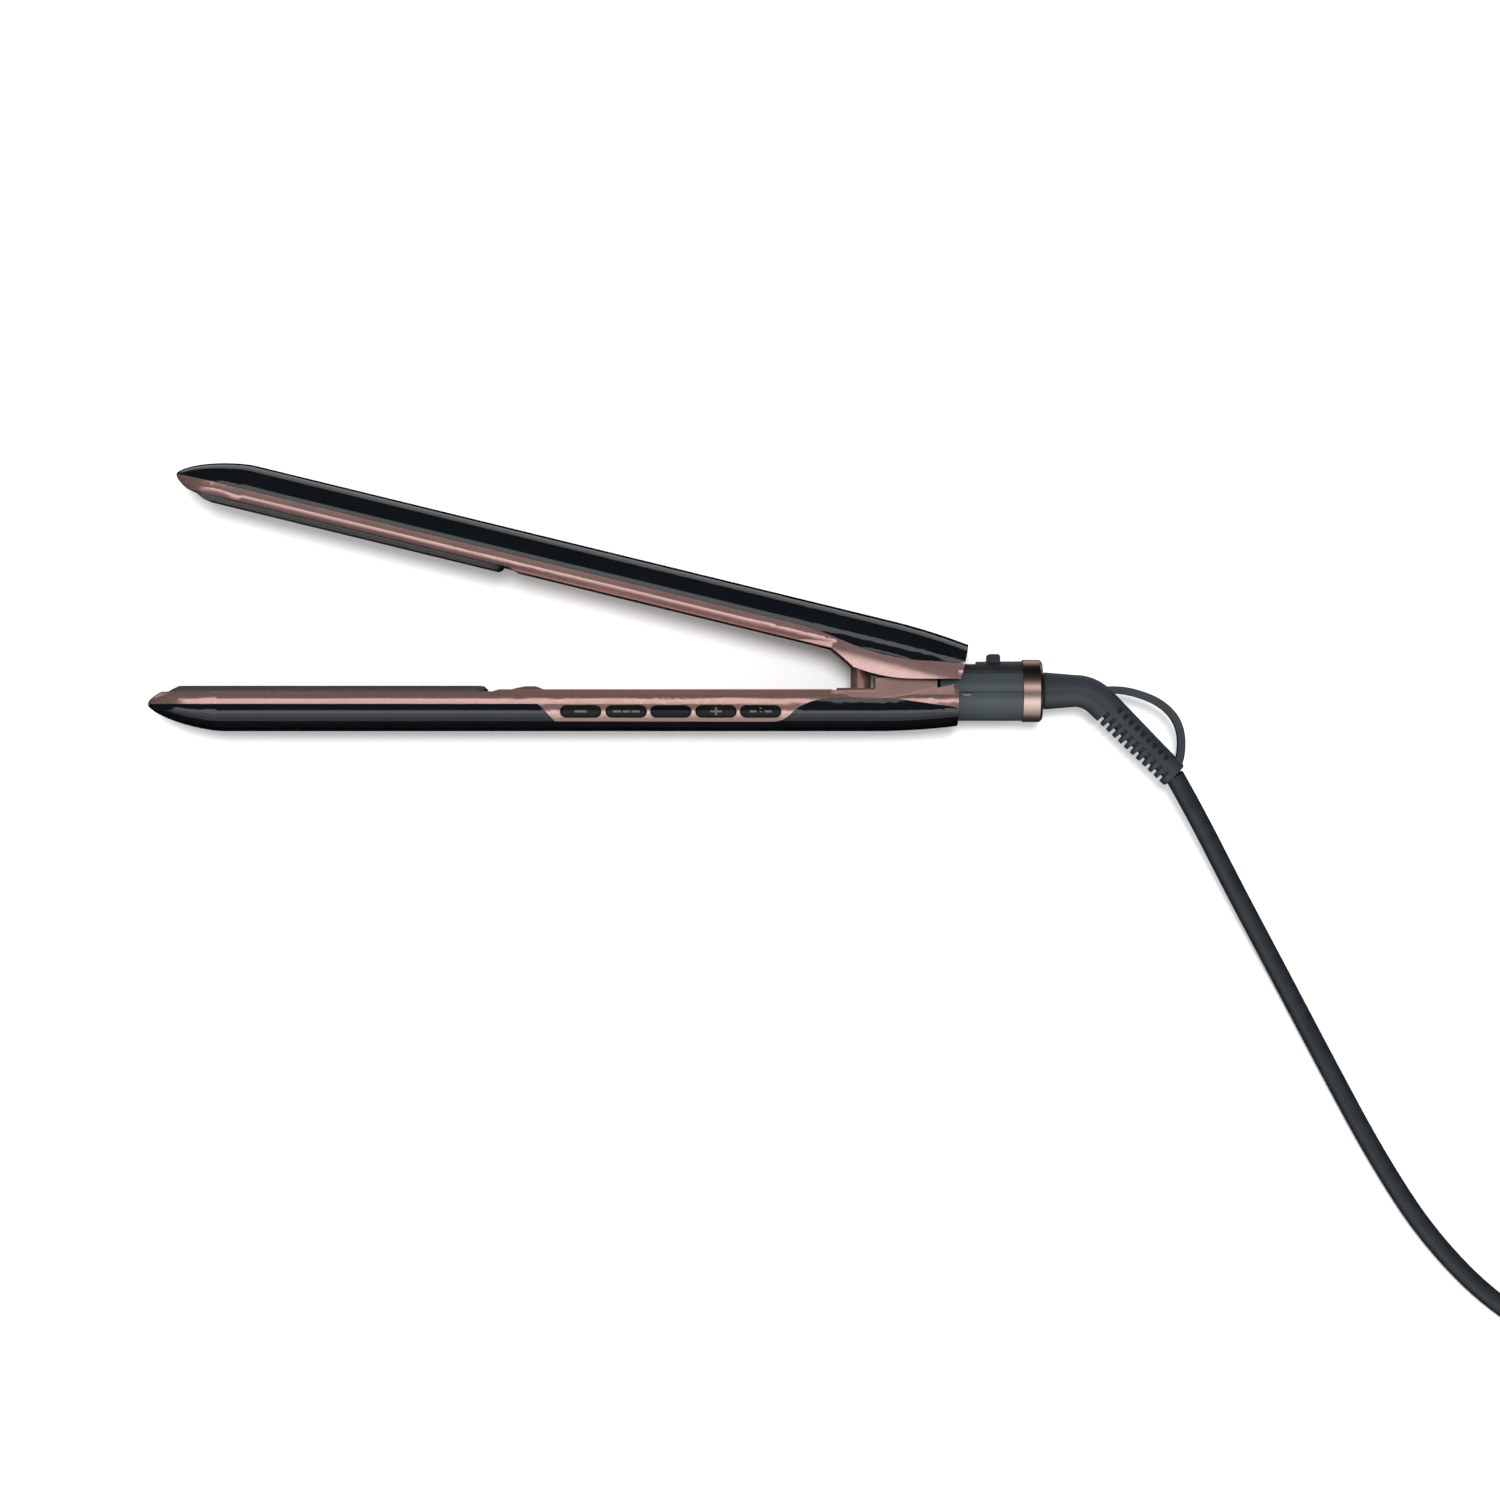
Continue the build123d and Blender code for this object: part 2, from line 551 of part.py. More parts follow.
def make_upper_housing():
    """Inner housing of the upper arm, with two shoulder cheeks that straddle the ridge and the neck."""
    housing = arm_housing(UPPER_SEAM) - block(-46.0, 5.0, -5, 5.5, -10.3, 10.3)
    front = [(-47.0, 8.5), (-47.0, 4.6), (-62.0, 4.6), (-62.0, SHOULDER[0][1])]
    frame = Polyline(SHOULDER[-1], (-4.4, 8.5), *front, SHOULDER[0])
    cheek = make_face([Spline(*SHOULDER[:3]), Spline(*SHOULDER[2:]), frame])
    cheeks = extrude(Pos(0, 0, -17) * cheek, 34) - block(-70, 5, -9, 12, -10.3, 10.3)
    taper = [(-62.0, 13.0), (-42.0, 16.9), (0.0, 16.9), (0.0, -16.9), (-42.0, -16.9), (-62.0, -13.0)]
    cheeks &= extrude(Plane.XZ * make_face(Polyline(*taper, close=True)), 20, both=True)
    arc = [(6.2, 16.45), (1.0, 15.9), (-4.0, 14.1)]
    rim = [(x, -z) for x, z in reversed(arc)]
    outline = [ThreePointArc(*[(-62.0, y, z) for y, z in arc]), Line((-62, *arc[2]), (-62, *rim[0]))]
    outline += [ThreePointArc(*[(-62.0, y, z) for y, z in rim]), Line((-62, *rim[2]), (-62, 9.0, -16.45))]
    outline += [Line((-62, 9.0, -16.45), (-62, 9.0, 16.45)), Line((-62, 9.0, 16.45), (-62, *arc[0]))]
    cheeks &= extrude(Face(Wire(outline)), 62, dir=(1, 0, 0))
    cheeks &= seam_side(UPPER_SEAM, False)
    housing = in_upper_arm(housing + cheeks)
    return housing - neck_room() - swing_open(neck_room())


def make_hinge_lug():
    """Lug of the upper arm: a barrel on the pin and an arm that is screwed under the upper shell."""
    outline = [(2.0, 3.6), (-3.2, -3.0), (-8.6, 2.7), (-27.4, 2.7), (-27.4, 6.0), (-8.0, 6.0), (-2.0, 4.3)]
    lug = prism(outline, -LUG_HALF, LUG_HALF) + rod_z(4.3, -LUG_HALF, LUG_HALF)
    lug -= rod_z(PIN_R + 0.05, -12, 12)
    for x in (-24.0, -15.0):
        lug += rod_y(3.0, 5.9, CLOSE_Y + back_at(x) - WALL - 0.55, x) - rod_y(1.12, 8.0, 20, x)
    return swing_open(lug)


def make_spring_cup():
    """Cup under the upper shell that the opening spring pushes on."""
    x = -39.0
    cup = rod_y(4.0, 12.2 - CLOSE_Y, BACK - WALL - 0.15, x) - rod_y(3.1, 5.0, 12.9 - CLOSE_Y, x)
    return in_upper_arm(cup)


def make_upper_leads():
    runs = []
    for z in (-5.5, 5.5):
        line = [(-14.0, 8.5), (-60.0, 8.5), (-80.0, 9.5), (-150.0, 9.5), (-160.0, 11.2), (-176.0, 11.2)]
        runs.append(in_upper_arm(wire_run([(x, y, z) for x, y in line])))
    return group(runs)


# ---- swivel, elbow and loop ----
ELBOW_DIR = Vector(math.cos(math.radians(ELBOW_TURN)), -math.sin(math.radians(ELBOW_TURN)), 0)


def along_sleeve(shape, s):
    """Moves a piece drawn along +X from the origin onto the sleeve, s past the elbow's corner."""
    start = Vector(ELBOW_X, 0, 0) + ELBOW_DIR * s
    return Pos(start.X, start.Y, 0) * Rot(0, 0, -ELBOW_TURN) * shape


def make_swivel_spigot():
    spigot = rod_x(SPIGOT_R, 9.5, RING_X1 + 2.0) + rod_x(7.4, NECK_X1 + 0.5, NECK_X1 + 2.5)
    return spigot - rod_x(6.0 / 2, 8, 24)


def make_swivel_rings():
    rings = []
    for x in (11.3, 14.6):
        rings.append(rod_x(6.0, x - 0.9, x + 0.9) - rod_x(SPIGOT_R + 0.01, 5, 20))
    return group(rings)


def make_elbow_sleeve():
    """Soft elbow and slotted sleeve, moulded over the lead's end; its outer slots end on a web."""
    bend_len = ELBOW_R * math.tan(math.radians(ELBOW_TURN / 2))
    bend_x = ELBOW_X - bend_len
    x0, r0, r1 = RING_X1 + 0.35, 6.25, 5.35
    taper = Pos((x0 + bend_x) / 2, 0, 0) * Rot(0, 90, 0) * Cone(r0, r1, bend_x - x0)
    taper = fillet(taper.edges().group_by(Axis.X)[0], 0.8)
    disc = Pos(bend_x, 0, 0) * Rot(0, 90, 0) * Circle(r1)
    bend = revolve(disc, Axis((bend_x, -ELBOW_R, 0), (0, 0, -1)), ELBOW_TURN)
    rest = SLEEVE_LEN - bend_len
    straight = along_sleeve(Rot(0, 90, 0) * Pos(0, 0, rest / 2) * Cone(r1, SLEEVE_R - 0.3, rest), bend_len)
    straight = fillet(straight.edges().sort_by(Axis.X)[-1], 0.8)
    sleeve = taper + bend + straight
    slots = []
    for side, first, count in ((-1, 9.5, 11), (1, 11.5, 9)):
        for n in range(count):
            slots.append(along_sleeve(Pos(0, side * 3.6, 0) * Box(1.35, 5.2, 14), first + 2.75 * n))
    web = block(-2, SLEEVE_LEN, 0, 8, -0.7, 0.7)
    core = along_sleeve(rod_x(3.1, -2, SLEEVE_LEN) + web, 2.0)
    for slot in slots:
        sleeve -= slot - core
    return sleeve - rod_x(SPIGOT_R + 0.02, 20, RING_X1 + 2.01)


def make_hang_loop():
    """Flat strap from the elbow's corner to the sleeve's end."""
    bow = [(46.6, 0.2), (52.2, 0.1), (58.2, -1.3), (63.4, -3.5), (67.6, -6.7), (70.4, -10.7)]
    middle = Spline(*bow, (71.6, -15.3), (71.6, -20.0), (70.7, -24.0), (69.3, -26.3))
    half = 1.25
    steps = 14
    left, right = [], []
    for n in range(steps + 1):
        t = n / steps
        tangent = middle % t
        normal = Vector(-tangent.Y, tangent.X, 0) * half
        left.append(middle @ t + normal)
        right.append(middle @ t - normal)
    face = make_face([Spline(*left), Line(left[-1], right[-1]), Spline(*right), Line(left[0], right[0])])
    return extrude(Pos(0, 0, -2.4) * face, 4.8)


# ---- lead ----
CORD_Z = FLOOR_Z + CORD_D / 2
SLEEVE_END = Vector(ELBOW_X, 0, 0) + ELBOW_DIR * SLEEVE_LEN
COIL_OUTER = COIL_R + CORD_D / 2
COIL_Z = FLOOR_Z + TIE_THICK
COIL_TOP = COIL_Z + COIL_LAYERS * CORD_D

# the lead from the sleeve to the coil, over the floor, and its tail from the coil's top turn to the plug
CORD_ROUTE = [
    (SLEEVE_END.X, SLEEVE_END.Y, 0.0),
    (76.4, -40.2, -1.6),
    (90.4, -66.6, -7.4),
    (106.0, -95.0, -12.4),
    (121.6, -124.6, CORD_Z),
    (139.0, -157.0, CORD_Z),
    (157.0, -184.6, CORD_Z),
    (180.0, -207.6, CORD_Z + 0.2),
    (208.0, -222.4, CORD_Z + 0.6),
    (235.0, -229.2, CORD_Z + TIE_THICK),
]
TAIL_ROUTE = [
    (COIL_X + COIL_OUTER + 0.2, -176.0, COIL_TOP - CORD_D / 2),
    (COIL_X + COIL_OUTER + 0.6, -160.0, COIL_TOP - CORD_D / 2 - 0.6),
    (277.0, -142.0, -5.0),
    (267.6, -122.0, FLOOR_Z + PLUG_HIGH / 2 - 0.3),
    (PLUG_X, PLUG_Y + 0.01, FLOOR_Z + PLUG_HIGH / 2),
]


def bend_radii(route):
    """The largest arc that each corner's two runs allow."""
    points = [Vector(*p) for p in route]
    radii = []
    for before, corner, after in zip(points, points[1:], points[2:]):
        shorter = min((corner - before).length, (after - corner).length)
        turn = math.radians((corner - before).get_angle(after - corner))
        radii.append(0.45 * shorter / math.tan(turn / 2))
    return radii


def cord_tube(name, route):
    radii = bend_radii(route)
    path = FilletPolyline(*route, radius=radii)
    tube = sweep(Plane(origin=path @ 0, z_dir=path % 0) * Circle(CORD_D / 2), path=path)
    ratio = tube.volume / (math.pi * CORD_D ** 2 / 4 * path.length)
    print(name, "length", round(path.length, 1), "volume ratio", round(ratio, 4))
    print(name, "radii", [round(r, 1) for r in radii])
    return tube


def make_cord_coil():
    """Outer shape of the tied coil of lead."""
    outer, inner = COIL_OUTER + CORD_D / 2, COIL_R - CORD_D
    section = RectangleRounded(outer - inner, COIL_TOP - COIL_Z, 3.0)
    section = Plane.XZ * (Pos((outer + inner) / 2, (COIL_Z + COIL_TOP) / 2) * section)
    return Pos(COIL_X, COIL_Y, 0) * revolve(section, Axis.Z)


def make_cord_tie():
    """Band round the coil's bundle."""
    gap = 0.1
    long = 2 * (CORD_D + gap)
    bottom, top = COIL_Z - gap, COIL_TOP + gap
    outside_top = top + TIE_THICK
    hole = Pos(COIL_R, (bottom + top) / 2) * RectangleRounded(long, top - bottom, 2.9)
    outside = RectangleRounded(long + 2 * TIE_THICK, outside_top - FLOOR_Z, 3.7)
    outside = Pos(COIL_R, (FLOOR_Z + outside_top) / 2) * outside
    band = revolve(Plane.XZ * (outside - hole), Axis.Z, TIE_ARC)
    return Pos(COIL_X, COIL_Y, 0) * Rot(0, 0, 180 - TIE_ARC / 2) * band


def make_plug_body():
    """Flat two-pin plug, pins towards +Y."""
    z = FLOOR_Z + PLUG_HIGH / 2
    outline = Plane.XZ * RectangleRounded(PLUG_WIDE, PLUG_HIGH - 0.02, 5.4)
    front = extrude(outline, 9.0)
    front = Pos(PLUG_X, PLUG_Y + PLUG_LONG, z) * chamfer(front.edges().group_by(Axis.Y)[-1], 0.7)
    waist = loft([
        Pos(PLUG_X, PLUG_Y + PLUG_LONG - 9.0, z) * outline,
        Pos(PLUG_X, PLUG_Y + 16.0, z) * (Plane.XZ * RectangleRounded(20.0, 12.6, 4.6)),
        Pos(PLUG_X, PLUG_Y + 2.0, z) * (Plane.XZ * RectangleRounded(11.0, 10.4, 4.0)),
    ])
    collar = rod_y(4.9, PLUG_Y, PLUG_Y + 2.4, PLUG_X, z)
    return front + waist + collar


def make_plug_pins():
    z = FLOOR_Z + PLUG_HIGH / 2
    pins = []
    for x in (-PIN_SPACING / 2, PIN_SPACING / 2):
        y0 = PLUG_Y + PLUG_LONG + 0.005
        pin = rod_y(PLUG_PIN_R, y0, y0 + PLUG_PIN_LEN, PLUG_X + x, z)
        pins.append(fillet(pin.edges().group_by(Axis.Y)[-1], 1.2))
    return group(pins)


# ---- all pieces ----
def all_pieces():
    pieces = {
        "lower_shell": make_lower_shell(),
        "lower_housing": make_lower_housing(),
        "display_window": make_display_window(),
        "display_module": make_display_module(),
        "control_board": make_control_board(),
        "key_switches": make_key_switches(),
        "power_board": make_power_board(),
        "power_parts": make_power_parts(),
        "lower_plate_carrier": in_lower_arm(plate_carrier()),
        "lower_plate_springs": group([in_lower_arm(s) for s in plate_springs()]),
        "lower_leads": make_lower_leads(),
        "stop_nub": make_stop_nub(),
        "spring_post": make_spring_post(),
        "opening_spring": make_opening_spring(),
        "lower_screws": group([in_lower_arm(s) for s in arm_screws()]),
        "neck_lower_half": make_neck_lower_half(),
        "neck_upper_half": make_neck_upper_half(),
        "slider_rail": make_slider_rail(),
        "neck_screws": make_neck_screws(),
        "neck_ring": make_neck_ring(),
        "hinge_pin": make_hinge_pin(),
        "hinge_washers": make_hinge_washers(),
        "swivel_contacts": make_swivel_contacts(),
        "lower_plate": in_lower_arm(heated_plate()),
        "lower_heater": in_lower_arm(heater()),
        "lower_heater_clamp": in_lower_arm(heater_clamp()),
        "lower_sensor": in_lower_arm(bead(-190.0)),
        "upper_shell": make_upper_shell(),
        "upper_housing": make_upper_housing(),
        "upper_plate_carrier": in_upper_arm(plate_carrier()),
        "upper_plate_springs": group([in_upper_arm(s) for s in plate_springs()]),
        "upper_leads": make_upper_leads(),
        "upper_screws": group([in_upper_arm(s) for s in arm_screws()]),
        "hinge_lug": make_hinge_lug(),
        "spring_cup": make_spring_cup(),
        "upper_plate": in_upper_arm(heated_plate()),
        "upper_heater": in_upper_arm(heater()),
        "upper_heater_clamp": in_upper_arm(heater_clamp()),
        "thermal_fuse": in_upper_arm(bead(-236.0)),
        "lock_slider": make_lock_slider(),
        "swivel_spigot": make_swivel_spigot(),
        "swivel_rings": make_swivel_rings(),
        "elbow_sleeve": make_elbow_sleeve(),
        "hang_loop": make_hang_loop(),
        "cord": cord_tube("cord", CORD_ROUTE),
        "cord_tail": cord_tube("cord_tail", TAIL_ROUTE),
        "cord_coil": make_cord_coil(),
        "cord_tie": make_cord_tie(),
        "plug_body": make_plug_body(),
        "plug_pins": make_plug_pins(),
    }
    for name, x in zip(KEY_NAMES, KEY_X):
        if name.startswith("key_"):
            pieces[name] = make_key(x)
    return pieces


os.makedirs("parts", exist_ok=True)
for node, piece in all_pieces().items():
    export_step(place(piece), f"parts/{node}.step")
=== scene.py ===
"""Looks of the flat iron: black shells, rose housings, grey neck, soft elbow, lead and its coil."""

import json
import math

import bpy
import bmesh
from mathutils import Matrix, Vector


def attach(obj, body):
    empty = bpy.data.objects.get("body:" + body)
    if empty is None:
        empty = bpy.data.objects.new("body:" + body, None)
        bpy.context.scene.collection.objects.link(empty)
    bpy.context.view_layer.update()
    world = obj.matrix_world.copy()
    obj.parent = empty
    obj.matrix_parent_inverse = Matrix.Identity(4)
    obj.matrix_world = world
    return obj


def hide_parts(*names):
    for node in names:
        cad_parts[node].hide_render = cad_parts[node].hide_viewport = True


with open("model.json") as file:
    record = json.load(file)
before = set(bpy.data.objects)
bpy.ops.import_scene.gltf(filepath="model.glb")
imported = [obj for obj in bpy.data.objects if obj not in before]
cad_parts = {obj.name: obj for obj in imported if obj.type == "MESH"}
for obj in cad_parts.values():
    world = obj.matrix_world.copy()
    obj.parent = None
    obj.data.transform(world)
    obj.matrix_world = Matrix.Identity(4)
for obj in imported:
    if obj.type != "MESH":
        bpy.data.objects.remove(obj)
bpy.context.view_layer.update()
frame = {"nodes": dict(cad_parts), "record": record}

# ---- places and sizes: metres in the row frame, or millimetres from the hinge where it says so ----
HINGE = Vector((0.09978, -0.02224, 0.01652))    # the hinge axis at the middle of the arms' width
MM = 0.001
FLOOR = 0.0
FLOOR_MM = -16.52                                 # the floor, from the hinge
CORD_D = 0.0065


def from_hinge(x, y, z=0.0):
    """A point given in millimetres from the hinge, in the row frame."""
    return HINGE + Vector((x, y, z)) * MM


def add_object(name, data):
    piece = bpy.data.objects.new(name, data)
    bpy.context.scene.collection.objects.link(piece)
    return piece


# ---- camera: straight down, from far above the arms ----
CAMERA_AT = (-72.0, -19.7, 1389.0)                # millimetres from the hinge
LENS, SENSOR = 100.0, 36.0
CLIP_START, CLIP_END = 0.05, 20.0


def make_camera():
    data = bpy.data.cameras.new("camera")
    data.sensor_width, data.lens = SENSOR, LENS
    data.clip_start, data.clip_end = CLIP_START, CLIP_END
    camera = add_object("camera", data)
    camera.location = from_hinge(*CAMERA_AT)
    bpy.context.scene.camera = camera


make_camera()


# ---- node helpers ----
MATERIALS = {}


def shader_of(material):
    return material.node_tree.nodes["Principled BSDF"]


def new_material(name, color, roughness, metallic=0.0, **sockets):
    """A Principled material, kept in MATERIALS; a socket's name has _ for Blender's space."""
    material = bpy.data.materials.new(name)
    material.use_nodes = True
    shader = shader_of(material)
    shader.inputs["Base Color"].default_value = (*color, 1.0)
    shader.inputs["Roughness"].default_value = roughness
    shader.inputs["Metallic"].default_value = metallic
    for key, value in sockets.items():
        shader.inputs[key.replace("_", " ")].default_value = value
    MATERIALS[name] = material
    return material


def add(material, kind, **inputs):
    node = material.node_tree.nodes.new("ShaderNode" + kind)
    for key, value in inputs.items():
        node.inputs[key].default_value = value
    return node


def link(material, source, target):
    material.node_tree.links.new(source, target)


def place_in_object(material, texture):
    """Lays a texture out in the object's own coordinates."""
    link(material, add(material, "TexCoord").outputs["Object"], texture.inputs["Vector"])
    return texture


def noise(material, scale, detail=3.0, stretch=(1.0, 1.0, 1.0)):
    """Noise in the object's own coordinates, stretched along an axis where a finish has a direction."""
    mapping = place_in_object(material, add(material, "Mapping", Scale=stretch))
    texture = add(material, "TexNoise", Scale=scale, Detail=detail)
    link(material, mapping.outputs["Vector"], texture.inputs["Vector"])
    return texture


def color_between(material, source, low, high, start=0.35, end=0.65):
    """Runs the base colour between two colours, as the source goes from start to end."""
    ramp = add(material, "ValToRGB")
    for stop, position, color in zip(ramp.color_ramp.elements, (start, end), (low, high)):
        stop.position, stop.color = position, (*color, 1.0)
    link(material, source, ramp.inputs["Fac"])
    link(material, ramp.outputs["Color"], shader_of(material).inputs["Base Color"])


def rough_between(material, texture, low, high, start=0.3, end=0.7):
    """Runs the roughness between two values, as the texture goes from start to end."""
    spread = add(material, "MapRange")
    spread.inputs["From Min"].default_value, spread.inputs["From Max"].default_value = start, end
    spread.inputs["To Min"].default_value, spread.inputs["To Max"].default_value = low, high
    link(material, texture.outputs["Fac"], spread.inputs["Value"])
    link(material, spread.outputs["Result"], shader_of(material).inputs["Roughness"])


def bump(material, texture, distance, strength=1.0):
    node = add(material, "Bump", Distance=distance, Strength=strength)
    link(material, texture.outputs["Fac"], node.inputs["Height"])
    link(material, node.outputs["Normal"], shader_of(material).inputs["Normal"])


# ---- finishes ----
GRAIN_SCALE, GRAIN_DETAIL = 2500.0, 2.0
BRUSH_SCALE, BRUSH_DETAIL, BRUSH_DEPTH, BRUSH_STRENGTH = 120.0, 4.0, 0.00002, 0.5
SMOOTHEST = 0.01


def mottled(name, low, high, roughness, rough_spread=0.04, scale=60.0, metallic=0.0, grain=0.0,
            **sockets):
    """A finish with a slight drift in colour and gloss, and a fine grain of the given depth."""
    material = new_material(name, low, roughness, metallic, **sockets)
    drift = noise(material, scale)
    color_between(material, drift.outputs["Fac"], low, high)
    rough_between(material, drift, max(SMOOTHEST, roughness - rough_spread), roughness + rough_spread)
    if grain:
        bump(material, noise(material, GRAIN_SCALE, GRAIN_DETAIL), grain)
    return material


def brushed(name, low, high, roughness, along=(1.0, 60.0, 60.0)):
    """Metal with a fine grain that runs along one axis."""
    material = new_material(name, low, roughness, metallic=1.0)
    grain = noise(material, BRUSH_SCALE, BRUSH_DETAIL, along)
    color_between(material, grain.outputs["Fac"], low, high)
    rough_between(material, grain, roughness - 0.06, roughness + 0.08)
    bump(material, grain, BRUSH_DEPTH, BRUSH_STRENGTH)


def rose_paint():
    """Pearl paint with fine metal flakes under a clear coat."""
    material = new_material("rose_paint", (0.6, 0.4, 0.37), 0.24, 0.85, Coat_Weight=0.5,
                            Coat_Roughness=0.1)
    flakes = place_in_object(material, add(material, "TexVoronoi", Scale=4200.0))
    color_between(material, flakes.outputs["Color"], (0.52, 0.315, 0.285), (0.72, 0.45, 0.41),
                  start=0.0, end=1.0)
    rough_between(material, noise(material, 90.0), 0.22, 0.27)


def plate_coat():
    """Dark ceramic coat on aluminium: fine speckle, satin."""
    material = new_material("plate_coat", (0.05, 0.05, 0.052), 0.32, 0.35, Coat_Weight=0.3,
                            Coat_Roughness=0.2)
    speckle = noise(material, 1800.0, GRAIN_DETAIL)
    color_between(material, speckle.outputs["Fac"], (0.04, 0.04, 0.042), (0.075, 0.073, 0.073))
    rough_between(material, noise(material, 50.0), 0.28, 0.38)
    bump(material, speckle, 0.000008)


def circuit_board():
    """Green solder mask with copper tracks under it."""
    material = new_material("board_green", (0.01, 0.09, 0.04), 0.35)
    tracks = add(material, "TexBrick", Scale=160.0, Color1=(0.008, 0.075, 0.035, 1.0),
                 Color2=(0.012, 0.1, 0.05, 1.0), Mortar=(0.05, 0.2, 0.07, 1.0))
    place_in_object(material, tracks)
    link(material, tracks.outputs["Color"], shader_of(material).inputs["Base Color"])
    rough_between(material, noise(material, 80.0), 0.3, 0.42)


def sleeve_braid():
    """Woven glass sleeve of a wire."""
    material = new_material("wire_sleeve", (0.6, 0.56, 0.5), 0.7)
    weave = add(material, "TexChecker", Scale=2500.0, Color1=(0.62, 0.58, 0.52, 1.0),
                Color2=(0.4, 0.37, 0.33, 1.0))
    place_in_object(material, weave)
    link(material, weave.outputs["Color"], shader_of(material).inputs["Base Color"])
    bump(material, weave, 0.00004)


def make_finishes():
    """Makes the finish of every material slot: its darker and lighter colour, roughness, and so on."""
    # casings
    mottled("black_gloss", (0.0035, 0.0045, 0.006), (0.0045, 0.0055, 0.007), 0.07, 0.015,
            Coat_Weight=0.6, Coat_Roughness=0.03)
    rose_paint()
    mottled("grey_neck", (0.032, 0.042, 0.047), (0.037, 0.048, 0.053), 0.34, grain=0.000006)
    mottled("dark_plastic", (0.012, 0.013, 0.016), (0.02, 0.021, 0.024), 0.42, grain=0.00001)
    mottled("rose_plating", (0.88, 0.6, 0.53), (0.93, 0.65, 0.58), 0.36, 0.03, scale=40.0, metallic=1.0)
    mottled("nub_rubber", (0.05, 0.038, 0.037), (0.07, 0.055, 0.053), 0.5, grain=0.00002)
    # keys and display
    mottled("display_window", (0.002, 0.0022, 0.003), (0.003, 0.0034, 0.0045), 0.05, 0.01,
            Specular_IOR_Level=0.2)
    mottled("display_frame", (0.55, 0.55, 0.52), (0.62, 0.62, 0.6), 0.5, grain=0.00002)
    mottled("key_caps", (0.004, 0.0037, 0.004), (0.006, 0.0054, 0.0057), 0.22, 0.03, scale=300.0,
            Specular_IOR_Level=0.2)
    # elbow, lead and plug
    mottled("soft_grey", (0.019, 0.026, 0.032), (0.024, 0.031, 0.038), 0.46, 0.05, grain=0.000015)
    mottled("lead_sheath", (0.009, 0.0115, 0.016), (0.013, 0.016, 0.021), 0.45, 0.06, scale=200.0,
            grain=0.00002)
    mottled("tie_rubber", (0.008, 0.008, 0.009), (0.015, 0.015, 0.017), 0.55, grain=0.00004)
    mottled("plug_plastic", (0.014, 0.017, 0.022), (0.022, 0.025, 0.032), 0.5, grain=0.00003)
    brushed("pin_metal", (0.6, 0.57, 0.52), (0.7, 0.67, 0.62), 0.22, along=(60.0, 1.0, 60.0))
    # plates and what heats and carries them
    plate_coat()
    mottled("heater_ceramic", (0.62, 0.6, 0.55), (0.72, 0.7, 0.66), 0.7, grain=0.00003)
    mottled("carrier_plastic", (0.05, 0.045, 0.04), (0.08, 0.072, 0.065), 0.6, grain=0.00003)
    # metal parts
    brushed("steel", (0.45, 0.45, 0.46), (0.6, 0.6, 0.62), 0.28)
    brushed("spring_steel", (0.35, 0.35, 0.36), (0.5, 0.5, 0.52), 0.25)
    brushed("sheet_steel", (0.5, 0.5, 0.5), (0.62, 0.62, 0.63), 0.35)
    # boards and wiring
    circuit_board()
    mottled("component_plastic", (0.02, 0.02, 0.023), (0.035, 0.035, 0.04), 0.45, grain=0.00002)
    mottled("switch_metal", (0.09, 0.09, 0.09), (0.14, 0.14, 0.14), 0.4, grain=0.00001)
    sleeve_braid()
    brushed("contact_brass", (0.6, 0.4, 0.16), (0.72, 0.5, 0.22), 0.25)


make_finishes()


# ---- the CAD nodes' looks ----
CRISP_ANGLE = math.radians(24.0)                  # edges sharper than this stay crisp
WELD_REACH = 0.000004
NORMAL_WEIGHT = 80


def shade_smooth(piece):
    """Even normals over broad faces, with the sharper edges kept crisp."""
    mesh = piece.data
    if "custom_normal" in mesh.attributes:
        mesh.attributes.remove(mesh.attributes["custom_normal"])
    mesh.polygons.foreach_set("use_smooth", [True] * len(mesh.polygons))
    weld = piece.modifiers.new("weld", "WELD")
    weld.merge_threshold = WELD_REACH
    split = piece.modifiers.new("crisp", "EDGE_SPLIT")
    split.split_angle = CRISP_ANGLE
    even = piece.modifiers.new("even", "WEIGHTED_NORMAL")
    even.weight = NORMAL_WEIGHT
    even.keep_sharp = True


def dress_cad_nodes():
    """Gives every CAD node its finish, and shades the housings' broad faces evenly."""
    for part in frame["record"]["subparts"]:
        node = frame["nodes"][part["node"]]
        node.data.materials.clear()
        node.data.materials.append(MATERIALS[part["material_slot"]])
    for name in ("lower_housing", "upper_housing"):
        shade_smooth(frame["nodes"][name])


dress_cad_nodes()


# ---- printed marks on the keys, in millimetres ----
# x runs along the arm from the hinge, and a is the distance below the plane where the closed arms meet
ARM_SEAM, ARM_DEPTH, ARM_HALF, ARM_POWER = 6.2, 8.9, 16.5, 2.4    # the arm's crowned section
CLOSE_Y = 1.67                                    # that plane, from the hinge
KEY_MIDDLE = 8.65                                 # the keys' middle line, at a
KEY_SINK = 0.2                                    # depth of the keys' tops under the arm's crown
INK_BOTTOM, INK_TOP = -0.06, 0.015                # a bar's faces, from the key's top
STROKE, THIN = 0.35, 0.33                         # half widths of the marks' strokes

